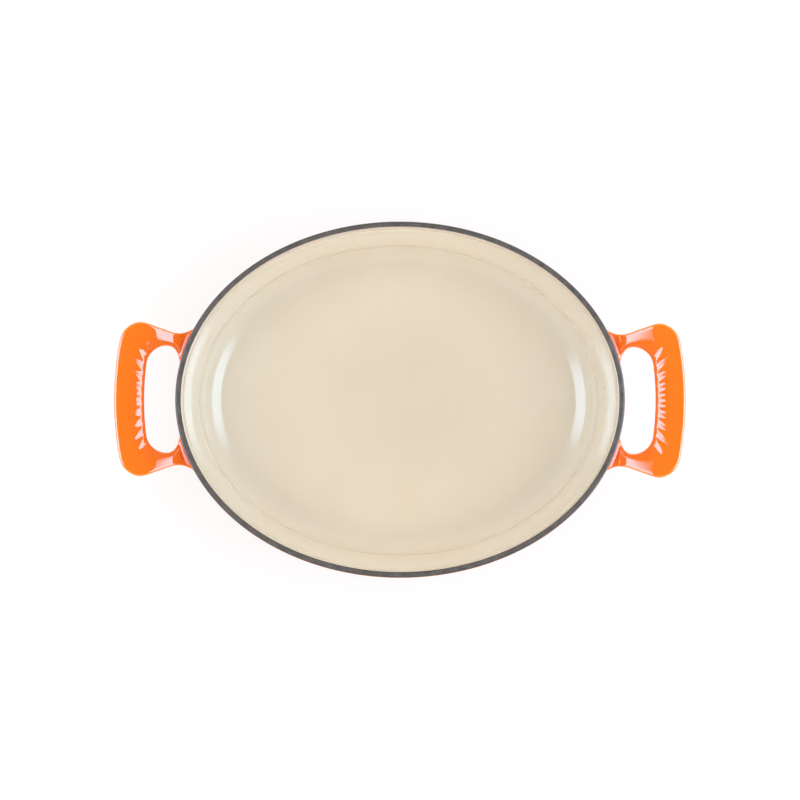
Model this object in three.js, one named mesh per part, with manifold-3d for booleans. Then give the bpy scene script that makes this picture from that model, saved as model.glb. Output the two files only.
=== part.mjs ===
// An oval enamelled cast-iron casserole, without its lid.
// One iron casting carries four fused glass coats: the lining, the outer coat, the rim and the base.
// Millimetres, +Z up, +X through the two handles, origin on the resting plane under the middle.
import * as THREE from 'three';
import { mergeVertices } from 'three/addons/utils/BufferGeometryUtils.js';
import Module from 'manifold-3d';

const wasm = await Module();
wasm.setup();
const { clamp, degToRad, lerp, smoothstep } = THREE.MathUtils;

// The oval pot, measured over the finished enamel.
const RIM_LENGTH = 270;
const RIM_WIDTH = 214;
const POT_HEIGHT = 110;
const IRON_WALL = 3.5;
const IRON_FLOOR = 4.5;
const ENAMEL = 0.5;
const OUTER_DRAFT = degToRad(3);
const INNER_DRAFT = degToRad(3.4);
const HEEL_RADIUS = 22;
const COVE_RADIUS = 16;
const RIM_BEVEL = 0.3;
const FOOT_WIDTH = 7;
const FOOT_HEIGHT = 0.8;
const FOOT_SLOPE = 2;

// The loop handles, measured over the finished enamel.
// A section's crown and keel are how far it goes above and below its widest level.
// The arms climb to the grip between two lines, one inside and one outside the rim's end.
const HANDLE_REACH = 37.5;
const HANDLE_SPAN = 93.6;
const HANDLE_DROP = 12.5;
const HANDLE_RISE = 9.5;
const HANDLE_CROWN = 3.5;
const HANDLE_KEEL = 6.5;
const HANDLE_CORNER = 14;
const GRIP_WIDTH = 18;
const GRIP_BOW_RADIUS = 190;
const GRIP_LEAN = degToRad(3.5);
const CLIMB_INSIDE = 2.5;
const CLIMB_OUTSIDE = 20;
const CLIMB_POWER = 2.2;
const NECK_SPAN = 82;
const NECK_REACH = 4;
const NECK_ANGLE = degToRad(20);
const ROOT_FLARE = 10.5;
const ROOT_FILLET = 4;
const FILLET_REACH = 4;
const FILLET_POWER = 2.2;
const GAP_SPAN = 64.4;
const GAP_CORNER = 12;
const GAP_ROOT_SPAN = 16;
const RIB_COUNT = 10;
const RIB_DEPTH = 0.5;
const GAP_SIDE_FULLNESS = 2.2;
const OUTER_SIDE_FULLNESS = 8;

// Where the ribs lie across the grip, as shares of its half width: their middle line,
// how far from it they keep their full depth, and how far from it they end.
const RIB_MIDDLE = -0.1;
const RIB_FULL = 0.25;
const RIB_END = 0.85;

// Facets.
const OVAL_SEGMENTS = 64;
const HEEL_STEPS = 5;
const COVE_STEPS = 6;
const SECTION_POINTS = 12;
const ROOT_STEPS = 5;
const ARM_STEPS = 4;

// Heights and half sizes that follow from these.
const SEMI_LENGTH = RIM_LENGTH / 2;
const SEMI_WIDTH = RIM_WIDTH / 2;
const RIM_WALL = IRON_WALL + 2 * ENAMEL;
const IRON_TOP = POT_HEIGHT - ENAMEL;
const FLOOR_TOP = FOOT_HEIGHT + IRON_FLOOR + 2 * ENAMEL;
const GRIP_LEVEL = POT_HEIGHT - HANDLE_DROP - HANDLE_CROWN;
const ROOT_LEVEL = GRIP_LEVEL - HANDLE_RISE;
const GRIP_OUTSIDE = SEMI_LENGTH + HANDLE_REACH;
const GRIP_INSIDE = GRIP_OUTSIDE - GRIP_WIDTH;

// A point of the rim's oval at a parametric angle, moved outward along the oval's normal.
function ovalPoint(angle, offset) {
  const normal = new THREE.Vector2(SEMI_WIDTH * Math.cos(angle), SEMI_LENGTH * Math.sin(angle));
  const point = new THREE.Vector2(SEMI_LENGTH * Math.cos(angle), SEMI_WIDTH * Math.sin(angle));
  return point.addScaledVector(normal.normalize(), offset);
}

// A closed surface from rings of vertices. A ring of one vertex is a point where the surface closes.
// Quads split along their shorter diagonal, so two pieces that share a skin share its facets.
function skinOfRings(rings, joinsItsStart) {
  const vertices = rings.flat();
  const starts = [0];
  for (const ring of rings) starts.push(starts.at(-1) + ring.length);
  const vertexAt = (ring, step) => starts[ring] + (step % rings[ring].length);
  const distance = (first, second) => vertices[first].distanceToSquared(vertices[second]);
  const indices = [];
  const bands = joinsItsStart ? rings.length : rings.length - 1;
  for (let band = 0; band < bands; band += 1) {
    const next = (band + 1) % rings.length;
    const count = Math.max(rings[band].length, rings[next].length);
    for (let step = 0; step < count; step += 1) {
      const [a, b] = [vertexAt(band, step), vertexAt(band, step + 1)];
      const [c, d] = [vertexAt(next, step + 1), vertexAt(next, step)];
      if (a === b) indices.push(a, c, d);
      else if (c === d) indices.push(a, b, c);
      else if (distance(a, c) < distance(b, d)) indices.push(a, b, c, a, c, d);
      else indices.push(a, b, d, b, c, d);
    }
  }
  const positions = vertices.flatMap((vertex) => vertex.toArray());
  const geometry = new THREE.BufferGeometry();
  geometry.setAttribute('position', new THREE.Float32BufferAttribute(positions, 3));
  geometry.setIndex(indices);
  return geometry;
}

function solidOf(geometry) {
  const merged = mergeVertices(geometry);
  const vertProperties = new Float32Array(merged.attributes.position.array);
  const triVerts = new Uint32Array(merged.index.array);
  return new wasm.Manifold(new wasm.Mesh({ numProp: 3, vertProperties, triVerts }));
}

function geometryOf(solid) {
  const { vertProperties, triVerts } = solid.getMesh();
  const geometry = new THREE.BufferGeometry();
  geometry.setAttribute('position', new THREE.Float32BufferAttribute(vertProperties, 3));
  geometry.setIndex(Array.from(triVerts));
  return geometry;
}

// The pot's profiles hold points of (offset from the rim's oval, height).
// Depth is how far a skin lies under the finished surface: nothing for enamel, its thickness for iron.
function outerWall(height, depth) {
  const lean = (POT_HEIGHT - height) * Math.tan(OUTER_DRAFT);
  return new THREE.Vector2(-lean - depth / Math.cos(OUTER_DRAFT), height);
}

function innerWall(height, depth) {
  const lean = (POT_HEIGHT - height) * Math.tan(INNER_DRAFT);
  return new THREE.Vector2(-RIM_WALL - lean + depth / Math.cos(INNER_DRAFT), height);
}

// A round corner from level ground up to a leaning wall, found on the finished surface.
function roundCorner(wall, draft, ground, radius, skinRadius, steps) {
  const tangent = wall(ground + radius * (1 - Math.sin(draft)), 0);
  const centre = new THREE.Vector2(tangent.x - radius * Math.cos(draft), ground + radius);
  const down = -Math.PI / 2;
  const arc = new THREE.EllipseCurve(centre.x, centre.y, skinRadius, skinRadius, down, -draft);
  return arc.getPoints(steps);
}

const heel = (depth) =>
  roundCorner(outerWall, OUTER_DRAFT, 0, HEEL_RADIUS, HEEL_RADIUS - depth, HEEL_STEPS);

const cove = (depth) =>
  roundCorner(innerWall, INNER_DRAFT, FLOOR_TOP, COVE_RADIUS, COVE_RADIUS + depth, COVE_STEPS);

// From the recess under the middle out to the foot ring.
function foot(depth) {
  const inside = heel(depth)[0].x - FOOT_WIDTH;
  const recess = new THREE.Vector2(inside - FOOT_SLOPE, FOOT_HEIGHT + depth);
  return [recess, new THREE.Vector2(inside, depth)];
}

// Sweeps a profile round the pot.
function ovalSweep(profile) {
  return profile.map(({ x: offset, y: height }) => {
    const ring = [];
    for (let step = 0; step < OVAL_SEGMENTS; step += 1) {
      const point = ovalPoint((2 * Math.PI * step) / OVAL_SEGMENTS, offset);
      ring.push(new THREE.Vector3(point.x, point.y, height));
    }
    return ring;
  });
}

// Sweeps a profile that closes on the pot's axis at both ends.
function ovalDish(bottom, profile, top) {
  const middle = (height) => [new THREE.Vector3(0, 0, height)];
  return skinOfRings([middle(bottom), ...ovalSweep(profile), middle(top)], false);
}

const ovalHoop = (profile) => skinOfRings(ovalSweep(profile), true);

function potCasting() {
  const outside = [...foot(ENAMEL), ...heel(ENAMEL), outerWall(IRON_TOP, ENAMEL)];
  const inside = [...cove(ENAMEL), innerWall(IRON_TOP, ENAMEL)].reverse();
  return ovalDish(FOOT_HEIGHT + ENAMEL, [...outside, ...inside], FLOOR_TOP - ENAMEL);
}

function liningCoat() {
  const back = [...cove(ENAMEL), innerWall(IRON_TOP, ENAMEL), innerWall(POT_HEIGHT, ENAMEL)];
  const face = [...cove(0), innerWall(POT_HEIGHT - RIM_BEVEL, 0)].reverse();
  return ovalDish(FLOOR_TOP - ENAMEL, [...back, ...face], FLOOR_TOP);
}

function baseCoat() {
  const face = [...foot(0), heel(0)[0]];
  const back = [...foot(ENAMEL), heel(ENAMEL)[0]].reverse();
  return ovalDish(FOOT_HEIGHT, [...face, ...back], FOOT_HEIGHT + ENAMEL);
}

function rimCoat() {
  const outside = [outerWall(IRON_TOP, ENAMEL), outerWall(POT_HEIGHT, ENAMEL)];
  const inside = [innerWall(POT_HEIGHT, ENAMEL), innerWall(IRON_TOP, ENAMEL)];
  return ovalHoop([...outside, ...inside]);
}

function wallCoat() {
  const face = [...heel(0), outerWall(POT_HEIGHT - RIM_BEVEL, 0)];
  const back = [...heel(ENAMEL), outerWall(IRON_TOP, ENAMEL), outerWall(POT_HEIGHT, ENAMEL)];
  return ovalHoop([...face, ...back.reverse()]);
}

// The handle's plan has an outer edge and a finger-gap edge.
// Each runs from the wall, where it flares, round a corner to the middle of the bowed grip.
const wallAngle = (across) => Math.asin(across / SEMI_WIDTH);
const OUTER_ROOT = wallAngle(NECK_SPAN / 2 + ROOT_FLARE);
const GAP_ROOT = wallAngle(GAP_ROOT_SPAN / 2);

const wallPoint = (angle, depth) => ovalPoint(angle, outerWall(ROOT_LEVEL, depth).x);

function wallTangent(angle) {
  return new THREE.Vector2(-SEMI_LENGTH * Math.sin(angle), SEMI_WIDTH * Math.cos(angle));
}

// How far the wall bows out from the straight line between the roots of the two edges.
// Side runs from -1 at the finger gap to 1 at the outer edge.
function wallBow(side, depth) {
  const share = (side + 1) / 2;
  const straight = wallPoint(GAP_ROOT, depth).lerp(wallPoint(OUTER_ROOT, depth), share);
  return wallPoint(lerp(GAP_ROOT, OUTER_ROOT, share), depth).sub(straight);
}

// Where two lines meet, each given by a point and a direction.
function meetingPoint(pointA, directionA, pointB, directionB) {
  const reach = pointB.clone().sub(pointA).cross(directionB) / directionA.cross(directionB);
  return pointA.clone().addScaledVector(directionA, reach);
}

// A curve that leaves one line and lands on another without a kink.
function bend(start, startDirection, end, endDirection) {
  const corner = meetingPoint(start, startDirection, end, endDirection);
  return new THREE.QuadraticBezierCurve(start, corner, end);
}

// A corner that runs level at its start and then smoothly into the bow of the grip.
function gripEdge(edge, halfSpan, corner, bowRadius) {
  const across = halfSpan - corner;
  const tilt = Math.asin(across / (bowRadius - corner));
  const bowCentre = edge - bowRadius;
  const cornerCentre = bowCentre + (bowRadius - corner) * Math.cos(tilt);
  const turn = new THREE.EllipseCurve(cornerCentre, across, corner, corner, Math.PI / 2, tilt, true);
  const bow = new THREE.EllipseCurve(bowCentre, 0, bowRadius, bowRadius, tilt, 0, true);
  return [turn, bow];
}

function pathOf(curves) {
  const path = new THREE.CurvePath();
  for (const curve of curves) path.add(curve);
  return path;
}

const LEVEL = new THREE.Vector2(1, 0);

function outerEdge() {
  const root = wallPoint(OUTER_ROOT, 0);
  const neck = new THREE.Vector2(SEMI_LENGTH + NECK_REACH, NECK_SPAN / 2);
  const neckDirection = new THREE.Vector2(Math.cos(NECK_ANGLE), Math.sin(NECK_ANGLE));
  const grip = gripEdge(GRIP_OUTSIDE, HANDLE_SPAN / 2, HANDLE_CORNER, GRIP_BOW_RADIUS);
  const arm = bend(neck, neckDirection, grip[0].getPoint(0), LEVEL);
  return {
    flare: bend(root, wallTangent(OUTER_ROOT), neck, neckDirection),
    loop: pathOf([arm, ...grip]),
  };
}

function gapEdge() {
  const root = wallPoint(GAP_ROOT, 0);
  const grip = gripEdge(GRIP_INSIDE, GAP_SPAN / 2, GAP_CORNER, GRIP_BOW_RADIUS - GRIP_WIDTH);
  return {
    flare: bend(root, wallTangent(GAP_ROOT), grip[0].getPoint(0), LEVEL),
    loop: pathOf(grip),
  };
}

// A point of an edge, moved to the left of the way along it.
function edgePoint(curve, along, shift) {
  const tangent = curve.getTangent(along);
  const left = new THREE.Vector2(-tangent.y, tangent.x);
  return curve.getPoint(along).addScaledVector(left, shift);
}

// The stations of half a handle, from inside the wall's iron to the middle of the grip.
// A station spans the two edges, and at the root it follows the wall.
function halfHandle(depth) {
  const outer = outerEdge();
  const gap = gapEdge();
  const sunk = ENAMEL + IRON_WALL / 2;
  const stations = [
    {
      inside: wallPoint(GAP_ROOT, sunk),
      outside: wallPoint(OUTER_ROOT, sunk),
      bow: 1,
      ribDepth: 0,
    },
  ];
  for (let step = 0; step < ROOT_STEPS; step += 1) {
    const along = step / ROOT_STEPS;
    stations.push({
      inside: edgePoint(gap.flare, along, depth),
      outside: edgePoint(outer.flare, along, -depth),
      bow: 1 - along,
      ribDepth: 0,
    });
  }
  const loopSteps = ARM_STEPS + RIB_COUNT;
  for (let step = 0; step <= loopSteps; step += 1) {
    const along = step / loopSteps;
    const inValley = step >= ARM_STEPS && (step - loopSteps) % 2 !== 0;
    stations.push({
      inside: edgePoint(gap.loop, along, depth),
      outside: edgePoint(outer.loop, along, -depth),
      bow: 0,
      ribDepth: inValley ? RIB_DEPTH : 0,
    });
  }
  return stations;
}

const roundedPower = (value, fullness) => Math.sign(value) * Math.abs(value) ** (2 / fullness);

// The level of a section's widest line, which climbs along the arms and leans to the pot on the grip.
function sectionLevel(reach, side) {
  const part = (reach - SEMI_LENGTH + CLIMB_INSIDE) / (CLIMB_INSIDE + CLIMB_OUTSIDE);
  const climb = 1 - (1 - clamp(part, 0, 1)) ** CLIMB_POWER;
  const lean = (Math.tan(GRIP_LEAN) * side * GRIP_WIDTH) / 2;
  return ROOT_LEVEL + climb * (HANDLE_RISE + lean);
}

// How much a section grows near the wall, from how far outside the wall its point lies.
function filletAt(plan, depth) {
  const lean = outerWall(ROOT_LEVEL, depth).x;
  const scaled = new THREE.Vector2(plan.x / (SEMI_LENGTH + lean), plan.y / (SEMI_WIDTH + lean));
  const slope = new THREE.Vector2(scaled.x / (SEMI_LENGTH + lean), scaled.y / (SEMI_WIDTH + lean));
  const distance = Math.max(0, scaled.length() - 1) * (scaled.length() / slope.length());
  return ROOT_FILLET * Math.max(0, 1 - distance / FILLET_REACH) ** FILLET_POWER;
}

// A station's section, softly rounded toward the fingers and fuller toward the outside.
function sectionRing(station, depth, mirror) {
  const ring = [];
  for (let step = 0; step < SECTION_POINTS; step += 1) {
    const angle = (2 * Math.PI * step) / SECTION_POINTS;
    const fullness = Math.cos(angle) > 0 ? OUTER_SIDE_FULLNESS : GAP_SIDE_FULLNESS;
    const side = roundedPower(Math.cos(angle), fullness);
    const lift = roundedPower(Math.sin(angle), fullness);
    const isOnTop = lift > 0;
    const fade = smoothstep(Math.abs(side - RIB_MIDDLE), RIB_FULL, RIB_END);
    const cut = isOnTop ? station.ribDepth * (1 - fade) : 0;
    const plan = station.inside.clone().lerp(station.outside, (side + 1) / 2);
    plan.addScaledVector(wallBow(side, depth), station.bow);
    const reach = (isOnTop ? HANDLE_CROWN : HANDLE_KEEL) + filletAt(plan, depth) - depth;
    const height = sectionLevel(plan.x, side) + lift * reach - cut;
    ring.push(new THREE.Vector3(plan.x, mirror * plan.y, height));
  }
  return ring;
}

// A whole loop handle in one loft. The turned one is the same handle at the pot's other end.
function handle(depth, isTurned) {
  const half = halfHandle(depth);
  const start = half.map((station) => sectionRing(station, depth, 1));
  const end = half.slice(0, -1).map((station) => sectionRing(station, depth, -1));
  const rings = [...start, ...end.reverse()];
  const [top, bottom] = [SECTION_POINTS / 4, (3 * SECTION_POINTS) / 4];
  const middleOf = (ring) => [ring[top].clone().lerp(ring[bottom], 0.5)];
  const geometry = skinOfRings([middleOf(rings[0]), ...rings, middleOf(rings.at(-1))], false);
  if (isTurned) geometry.scale(-1, -1, 1);
  return solidOf(geometry);
}

const withHandles = (solid, depth) => solid.add(handle(depth, false)).add(handle(depth, true));

const casting = withHandles(solidOf(potCasting()), ENAMEL);
const outerCoat = withHandles(solidOf(wallCoat()), 0).subtract(casting);

const castIron = new THREE.MeshStandardMaterial({ color: 0x4a4744, roughness: 0.7, metalness: 0.7 });
const creamEnamel = new THREE.MeshStandardMaterial({ color: 0xe6d8c0, roughness: 0.12, metalness: 0 });
const orangeEnamel = new THREE.MeshStandardMaterial({ color: 0xf37a22, roughness: 0.12, metalness: 0 });
const blackEnamel = new THREE.MeshStandardMaterial({ color: 0x3c3936, roughness: 0.7, metalness: 0 });
const baseEnamel = new THREE.MeshStandardMaterial({ color: 0xb8431a, roughness: 0.3, metalness: 0 });

function addPiece(group, name, geometry, material) {
  geometry.computeVertexNormals();
  const mesh = new THREE.Mesh(geometry, material);
  mesh.name = name;
  group.add(mesh);
}

const casserole = new THREE.Group();
addPiece(casserole, 'iron_casting', geometryOf(casting), castIron);
addPiece(casserole, 'interior_enamel', liningCoat(), creamEnamel);
addPiece(casserole, 'exterior_enamel', geometryOf(outerCoat), orangeEnamel);
addPiece(casserole, 'rim_enamel', rimCoat(), blackEnamel);
addPiece(casserole, 'base_enamel', baseCoat(), baseEnamel);

export default casserole;
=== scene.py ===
"""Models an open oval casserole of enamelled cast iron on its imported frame, and lights it."""
from math import acos, asin, atan2, cos, pi, radians, sin, tan

import bmesh
import bpy
import numpy as np
from bpy.props import FloatProperty, FloatVectorProperty, IntProperty, PointerProperty
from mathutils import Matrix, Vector
from mathutils.kdtree import KDTree


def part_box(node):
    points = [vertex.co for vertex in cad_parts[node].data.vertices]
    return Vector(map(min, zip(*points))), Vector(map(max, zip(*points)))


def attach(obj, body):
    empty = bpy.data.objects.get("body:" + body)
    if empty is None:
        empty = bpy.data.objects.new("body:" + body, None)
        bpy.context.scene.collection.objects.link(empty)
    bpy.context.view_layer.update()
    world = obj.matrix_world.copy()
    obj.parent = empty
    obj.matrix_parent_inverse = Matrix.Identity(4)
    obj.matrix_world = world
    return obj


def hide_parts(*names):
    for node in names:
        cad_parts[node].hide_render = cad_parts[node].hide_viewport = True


bl_info = {
    "name": "Oval Casserole",
    "version": (1, 0, 0),
    "blender": (4, 5, 0),
    "location": "View3D > Sidebar > Casserole",
    "description": "Models an enamelled oval casserole with loop handles, and its stage",
    "category": "Add Mesh",
}

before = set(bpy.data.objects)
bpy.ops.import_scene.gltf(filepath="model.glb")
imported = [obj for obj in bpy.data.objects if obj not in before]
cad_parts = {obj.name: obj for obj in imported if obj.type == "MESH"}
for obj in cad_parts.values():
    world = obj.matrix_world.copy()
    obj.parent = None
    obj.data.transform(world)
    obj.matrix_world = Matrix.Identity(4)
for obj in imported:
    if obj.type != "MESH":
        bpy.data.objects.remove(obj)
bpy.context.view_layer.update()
rim_low, rim_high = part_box("rim_enamel")
_, coat_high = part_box("exterior_enamel")
lining_low, lining_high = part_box("interior_enamel")
_, base_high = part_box("base_enamel")
ENAMEL = rim_high.z - rim_low.z

BODY = "root"
MM = 0.001

# How finely the pieces are drawn.
OVAL_POINTS = 192
WALL_POINTS = 128
LOWER_WALL_ROWS = 6
UPPER_WALL_ROWS = 2
LINING_ROWS = 8
FLOOR_ROWS = 3
RIM_ROWS = 3
RECESS_ROWS = 2
FOOT_STEPS = 3
SECTION_POINTS = 32
ROOT_STEPS = 12
ARM_STEPS = 8
STEPS_PER_RIB = 8
CORNER_STEPS = 18
EDGE_STEPS = 5
PATH_POINTS = 400
GLAZE_LEVELS = 1

# The block of wall faces that each arm grows out of, counted in columns from the handle's middle.
BLOCK_FIRST_COLUMN = 1
BLOCK_COLUMNS = 10
BLOCK_ROWS = 6
BLOCK_MARGIN = 2.0 * MM

# The share of a handle's loop, from its neck to the middle of its grip, that has no ribs.
ARM_SHARE = 2 / 7

# Below 1, the rings of an arm's root stand farther apart at the wall and closer toward the neck.
ROOT_CROWDING = 0.8

# From 0 to 1, how much closer a section's points stand at its corners.
CORNER_CROWDING = 0.4

# How close together two vertices are merged, and how close to a border its vertices lie.
MERGE_DISTANCE = 0.005 * MM
BORDER_DISTANCE = 0.1 * MM

# Faces are shaded as one below the first angle, and bends under the base are rounded above the second.
SMOOTH_ANGLE = radians(40)
ROUNDED_ANGLE = radians(10)

# How often the marks of bends are evened out, and the least square of a length to divide by.
BEND_ROUNDS = 3
LEAST_SQUARE = 1e-12

# Bends, per metre, between which the outer glaze turns lighter on edges, partly thinning glaze and partly a
# painted highlight, and pools in hollows.
THIN_GLAZE_AND_HIGHLIGHT_START, THIN_GLAZE_AND_HIGHLIGHT_FULL = 55.0, 190.0
POOL_START, POOL_FULL = -12.0, -70.0

# The outer glaze turns from flame to orange over a share of the height, on a clouded level.
FIRED_SHARE = 0.8
FIRED_CLOUDS = 12 * MM

# Depths under the rim's top between which the lining is darkened with painted shade.
LIP_SHADE_START = 6.5 * MM
LIP_SHADE_FULL = 0.4 * MM

# The matt band's border on each glaze: depth under the rim's top, drop per metre toward +Y, raggedness.
COAT_BORDER = 0.735 * MM
COAT_TILT = 0.0019
COAT_RAGGED = 0.4 * MM
LINING_BORDER = 0.056 * MM
LINING_TILT = -0.0005
LINING_RAGGED = 0.08 * MM

# The border's grain per metre, the share of its raggedness that blurs, and the roughness beyond it.
BORDER_GRAIN = 1100.0
BORDER_BLUR = 1 / 6
BORDER_ROUGHNESS = 0.4

# The glazes' fine peel and broad waves, and the roughness of the clear glass over them.
PEEL_DEPTH = 0.1 * MM
WAVE_DEPTH = 0.6 * MM
WAVE_DETAIL = 2.0
GLASS_ROUGHNESS = 0.02

# The range that most values of a noise lie in, and the share of patches in the rim's grain.
NOISE_LOW, NOISE_HIGH = 0.3, 0.7
PATCH_SHARE = 0.5

# Numbers of the sockets that share their names, on nodes that mix colours and shaders.
MIX_FIRST, MIX_SECOND, MIX_RESULT = 6, 7, 2
SHADER_FIRST, SHADER_SECOND = 1, 2

# The table, and the camera's sensor in millimetres.
TABLE_SIZE = 12.0
TABLE_GAP = 0.05 * MM
TABLE_ROUGHNESS = 0.9
SENSOR_WIDTH = 36


def number(name, description, default, low=0.0, **limits):
    return FloatProperty(name=name, description=description, default=default, min=low, **limits)


def length(name, description, default):
    return number(name, description, default, precision=5, subtype="DISTANCE")


def size(name, description, millimetres):
    return length(name, description, millimetres * MM)


def angle(name, description, degrees):
    return FloatProperty(name=name, description=description, default=radians(degrees), subtype="ANGLE")


def share(name, description, default, low=-1.0):
    return number(name, description, default, low, max=1.0, subtype="FACTOR")


def colour(name, description, red, green, blue):
    return FloatVectorProperty(
        name=name,
        description=description,
        default=(red, green, blue, 1.0),
        size=4,
        min=0.0,
        max=1.0,
        subtype="COLOR",
    )


class CasseroleSizes(bpy.types.PropertyGroup):
    """Sizes of the pot and its handles, over the finished enamel."""

    semi_length: length("Half Length", "Half the rim's length", rim_high.x + ENAMEL)
    semi_width: length("Half Width", "Half the rim's width", rim_high.y + ENAMEL)
    height: length("Height", "Height of the rim above the table", rim_high.z)
    enamel: length("Enamel", "Thickness of each coat", ENAMEL)
    rim_wall: length("Rim Wall", "Wall at the rim with both coats", rim_high.x + 2 * ENAMEL - lining_high.x)
    floor_top: length("Floor", "Height of the floor inside", lining_low.z + ENAMEL)
    outer_draft: angle("Outer Draft", "Lean of the outside", 3.0)
    inner_draft: angle("Inner Draft", "Lean of the inside", 3.4)
    heel_radius: size("Heel Radius", "Round from the base to the outside", 22)
    cove_radius: size("Cove Radius", "Round from the floor to the inside", 16)
    foot_width: size("Foot Width", "Width of the ring that the pot stands on", 7)
    foot_height: length("Foot Height", "Depth of the recess inside the foot", base_high.z - ENAMEL)
    foot_slope: size("Foot Slope", "Width of the slope inside the foot", 2)
    foot_round: size("Foot Round", "Round on the bends under the base", 0.7)
    rim_round: size("Rim Round", "Round on both edges of the rim", 1.3)
    coat_lap: size("Coat Lap", "How far the outer coat laps over the rim", 0.9)

    handle_outside: length("Handle Outside", "How far out the handle reaches", coat_high.x)
    handle_span: size("Handle Span", "Length of the handle along the wall", 93.6)
    handle_drop: size("Handle Drop", "How far the grip's top lies under the rim", 11.7)
    top_rise: size("Top Rise", "How far the arms' top climbs to the grip", 6.5)
    top_power: number("Top Power", "How much steeper the arms' top climbs at its start", 1.2)
    under_rise: size("Under Rise", "How far the arms' underside climbs to the grip", 9.5)
    under_power: number("Under Power", "How much steeper the arms' underside climbs at its start", 2.2)
    climb_start: size("Climb Start", "How far inside the rim's end the arms start to climb", 2.5)
    climb_end: size("Climb End", "How far outside the rim's end the arms are level", 20)
    handle_crown: size("Crown", "Handle above its widest level", 3.5)
    handle_keel: size("Keel", "Grip below its widest level", 7.3)
    handle_corner: size("Corner", "Radius of the handle's outer corners", 14)
    grip_width: size("Grip Width", "Width of the grip from above", 18)
    grip_bow: size("Grip Bow", "Radius of the grip's bow", 190)
    grip_lean: angle("Grip Lean", "How the grip's top leans toward the pot", 6)
    neck_span: size("Neck Span", "Outer width of the handle at its necks", 82)
    neck_reach: size("Neck Reach", "How far outside the rim's end the neck lies", 4)
    neck_angle: angle("Neck Angle", "How the arm opens outward at its neck", 20)
    root_flare: size("Root Flare", "How far the arm spreads along the wall", 10.5)
    root_fillet: size("Root Fillet", "How far the arm spreads up and down the wall", 4)
    fillet_reach: size("Fillet Reach", "How far from the wall the fillet ends", 4)
    fillet_power: number("Fillet Power", "How fast the fillet falls away from the wall", 2.2)
    gap_span: size("Gap Span", "Length of the finger gap", 64.4)
    gap_corner: size("Gap Corner", "Radius of the finger gap's corners", 12)
    gap_root_span: size("Gap Root", "Wall left bare between the two roots", 16)
    arm_fullness: number("Arm Fullness", "How square an arm's section is toward the fingers", 3.5)
    grip_fullness: number("Grip Fullness", "How square the grip's section is toward the fingers", 2.2)
    grip_flatness: number("Grip Flatness", "How flat the grip's top stays toward the fingers", 2.6)
    keel_fullness: number("Keel Fullness", "How square the underside is toward the fingers", 2.3)
    outer_fullness: number("Outer Fullness", "How square the section is toward the outside", 9.0)
    rib_count: IntProperty(name="Ribs", description="Ribs across one grip", default=10, min=2)
    rib_depth: size("Rib Depth", "Depth of the dips between the ribs", 0.37)
    rib_middle: share("Rib Middle", "Middle line of the ribs across the grip", -0.35)
    rib_full: share("Rib Full", "Half width over which the ribs are full", 0.25, 0.0)
    rib_end: share("Rib End", "Half width at which the ribs have died out", 0.75, 0.0)


class CasseroleColours(bpy.types.PropertyGroup):
    """Colours of the coats and the iron, in linear light."""

    orange: colour("Orange", "Outer coat at the rim and handles", 0.89, 0.188, 0.017)
    flame: colour("Flame", "Outer coat toward the base", 0.55, 0.05, 0.006)
    # Lighter over sharp edges: partly thinning glaze, partly a painted highlight along the edges.
    glaze_tone_and_painted_light: colour("Thin Glaze", "Outer coat where it thins over an edge", 0.96, 0.30, 0.04)
    pooled: colour("Pooled Glaze", "Outer coat where it pools in a hollow", 0.78, 0.09, 0.008)
    cream: colour("Cream", "Lining", 0.88, 0.80, 0.68)
    sand: colour("Sand", "Warmer clouds in the lining", 0.87, 0.785, 0.66)
    # Painted shade: the lining darkened toward the rim's top.
    painted_lip_shade: colour("Lip", "Lining where it thins at the rim", 0.6, 0.5, 0.4)
    rim: colour("Rim", "Matt band on the rim", 0.053, 0.04, 0.032)
    rim_worn: colour("Rim Grain", "Paler grain in the matt band", 0.125, 0.103, 0.09)
    base: colour("Base", "Coat under the base", 0.40, 0.045, 0.010)
    base_fired: colour("Base Fired", "Darker clouds under the base", 0.22, 0.026, 0.010)
    iron: colour("Iron", "Cast iron under the coats", 0.075, 0.07, 0.066)
    iron_dark: colour("Iron Dark", "Darker grain in the iron", 0.035, 0.033, 0.032)


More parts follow.
